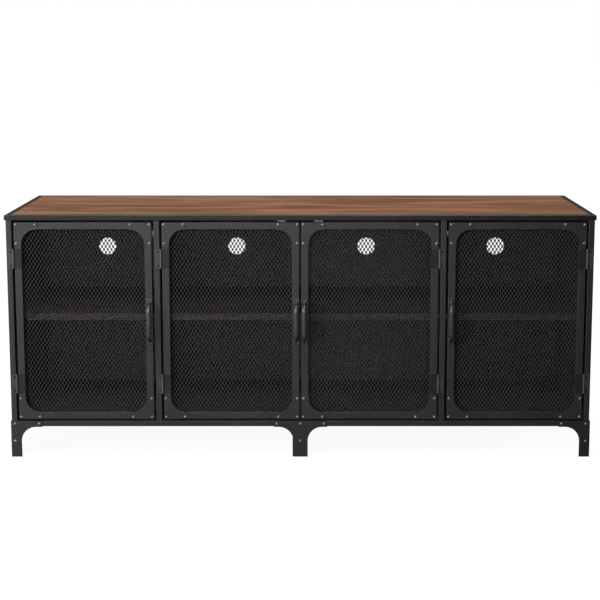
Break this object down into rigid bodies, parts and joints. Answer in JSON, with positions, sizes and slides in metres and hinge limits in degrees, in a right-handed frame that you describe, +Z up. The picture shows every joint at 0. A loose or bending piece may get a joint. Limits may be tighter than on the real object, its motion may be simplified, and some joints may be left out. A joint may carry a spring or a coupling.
{
  "type": "tv stand",
  "caption": "Low industrial TV stand: walnut top inset in a black steel frame, hinged expanded-metal doors with bow handles, shelved bays behind them and riveted plate feet.",
  "frame": {"origin": "on the floor, at the centre of the whole footprint, handles included", "axes": "+X to the right seen from the front, +Y to the back, +Z up"},
  "size_m": [1.5258, 0.4322, 0.643],
  "materials": {
    "frame_steel": "satin black powder coat",
    "door_steel": "satin black powder coat",
    "mesh_steel": "black powder coat on expanded metal",
    "hinge_steel": "satin black paint",
    "handle_steel": "satin black paint, a little glossier than the doors",
    "walnut": "matt dark walnut laminate with straight grain",
    "shelf_walnut": "matt dark walnut laminate",
    "black_panel": "matt black laminated board",
    "catch_plastic": "grey moulded plastic"
  },
  "bodies": {
    "cabinet": {"tabletop": "walnut", "top_frame": "frame_steel", "corner_post_front_left": "frame_steel", "corner_post_front_right": "frame_steel", "corner_post_rear_left": "frame_steel", "corner_post_rear_right": "frame_steel", "divider_post_left": "frame_steel", "divider_post_right": "frame_steel", "bottom_rail_front": "frame_steel", "bottom_rail_rear": "frame_steel", "bottom_rail_left": "frame_steel", "bottom_rail_right": "frame_steel", "foot_front_left": "frame_steel", "foot_front_centre": "frame_steel", "foot_front_right": "frame_steel", "foot_rear_left": "frame_steel", "foot_rear_centre": "frame_steel", "foot_rear_right": "frame_steel", "bottom_panel": "black_panel", "back_panel": "black_panel", "side_panel_left": "black_panel", "side_panel_right": "black_panel", "partition_left": "black_panel", "partition_right": "black_panel", "shelf_left": "shelf_walnut", "shelf_centre": "shelf_walnut", "shelf_right": "shelf_walnut", "magnetic_catch_1": "catch_plastic", "magnetic_catch_2": "catch_plastic", "magnetic_catch_3": "catch_plastic", "magnetic_catch_4": "catch_plastic", "hinge_1_upper_post_leaf": "hinge_steel", "hinge_1_lower_post_leaf": "hinge_steel", "hinge_2_upper_post_leaf": "hinge_steel", "hinge_2_lower_post_leaf": "hinge_steel", "hinge_3_upper_post_leaf": "hinge_steel", "hinge_3_lower_post_leaf": "hinge_steel", "hinge_4_upper_post_leaf": "hinge_steel", "hinge_4_lower_post_leaf": "hinge_steel"},
    "door_1": {"door_1_frame": "door_steel", "door_1_mesh": "mesh_steel", "door_1_handle": "handle_steel", "hinge_1_upper_door_leaf": "hinge_steel", "hinge_1_lower_door_leaf": "hinge_steel"},
    "door_2": {"door_2_frame": "door_steel", "door_2_mesh": "mesh_steel", "door_2_handle": "handle_steel", "hinge_2_upper_door_leaf": "hinge_steel", "hinge_2_lower_door_leaf": "hinge_steel"},
    "door_3": {"door_3_frame": "door_steel", "door_3_mesh": "mesh_steel", "door_3_handle": "handle_steel", "hinge_3_upper_door_leaf": "hinge_steel", "hinge_3_lower_door_leaf": "hinge_steel"},
    "door_4": {"door_4_frame": "door_steel", "door_4_mesh": "mesh_steel", "door_4_handle": "handle_steel", "hinge_4_upper_door_leaf": "hinge_steel", "hinge_4_lower_door_leaf": "hinge_steel"}
  },
  "joints": [
    {"name": "door_1_hinge", "type": "hinge", "parent": "cabinet", "child": "door_1", "pos_m": [-0.74125, -0.1904, 0.3635], "axis": [0, 0, -1], "range_deg": [0, 105]},
    {"name": "door_2_hinge", "type": "hinge", "parent": "cabinet", "child": "door_2", "pos_m": [-0.36025, -0.1904, 0.3635], "axis": [0, 0, -1], "range_deg": [0, 105]},
    {"name": "door_3_hinge", "type": "hinge", "parent": "cabinet", "child": "door_3", "pos_m": [0.36025, -0.1904, 0.3635], "axis": [0, 0, 1], "range_deg": [0, 105]},
    {"name": "door_4_hinge", "type": "hinge", "parent": "cabinet", "child": "door_4", "pos_m": [0.74125, -0.1904, 0.3635], "axis": [0, 0, 1], "range_deg": [0, 105]}
  ]
}
